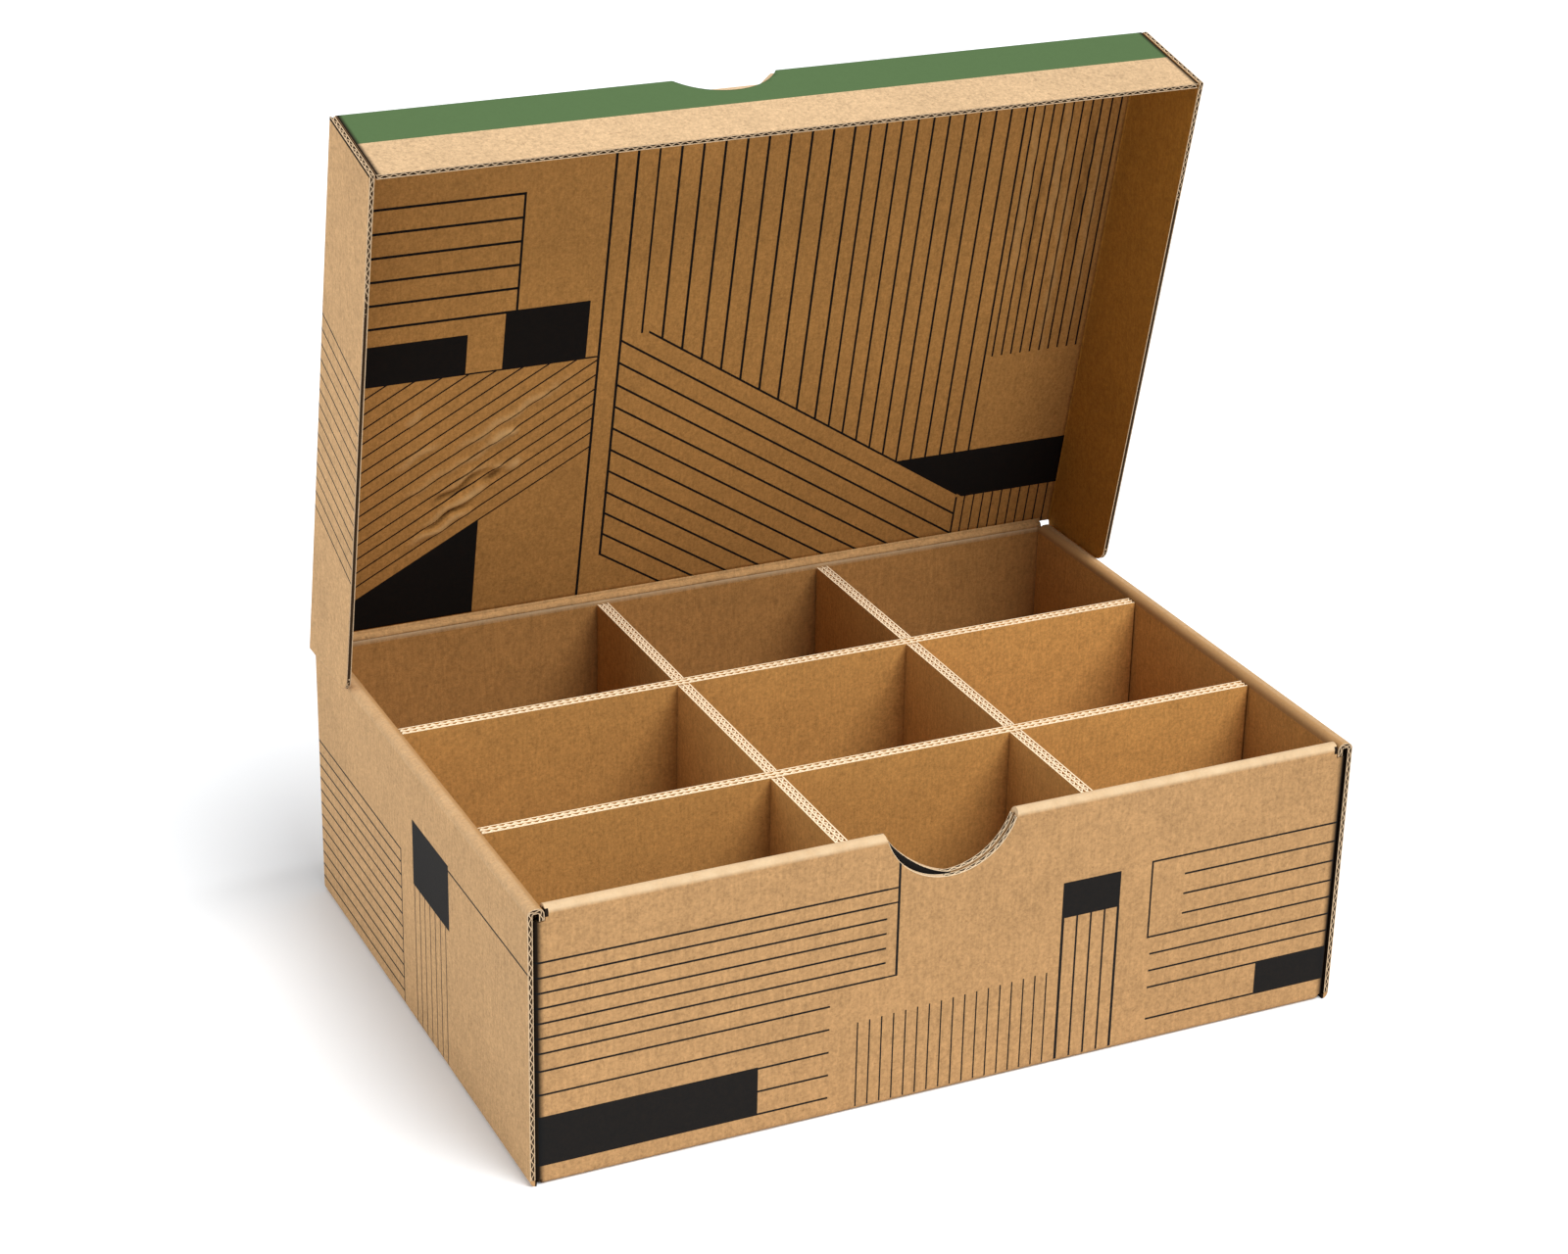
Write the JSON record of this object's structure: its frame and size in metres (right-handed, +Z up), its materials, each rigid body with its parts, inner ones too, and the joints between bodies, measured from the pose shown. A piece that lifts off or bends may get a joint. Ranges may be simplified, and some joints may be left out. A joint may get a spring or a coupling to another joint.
{
  "type": "divided gift box",
  "caption": "Kraft corrugated gift box: a folded tray with rolled double walls, a hinged lid with flanges that shuts over it, and slotted dividers that make a grid of compartments.",
  "frame": {"origin": "the middle of the tray's underside, on the table", "axes": "+X to the box's right seen from the front, +Y to the back where the lid hangs, +Z up"},
  "size_m": [0.3032, 0.2117, 0.3055],
  "materials": {
    "kraft_board": "matt brown kraft liner",
    "divider_board": "matt brown kraft liner, pale cut edges with open flutes"
  },
  "bodies": {
    "tray": {"tray": "kraft_board", "divider_long_front": "divider_board", "divider_long_rear": "divider_board", "divider_cross_left": "divider_board", "divider_cross_right": "divider_board"},
    "lid": {"lid": "kraft_board"}
  },
  "joints": [
    {"name": "lid_hinge", "type": "hinge", "parent": "tray", "child": "lid", "pos_m": [0, 0.10415, 0.09915], "axis": [-1, 0, 0], "range_deg": [-77.5, 100]}
  ]
}
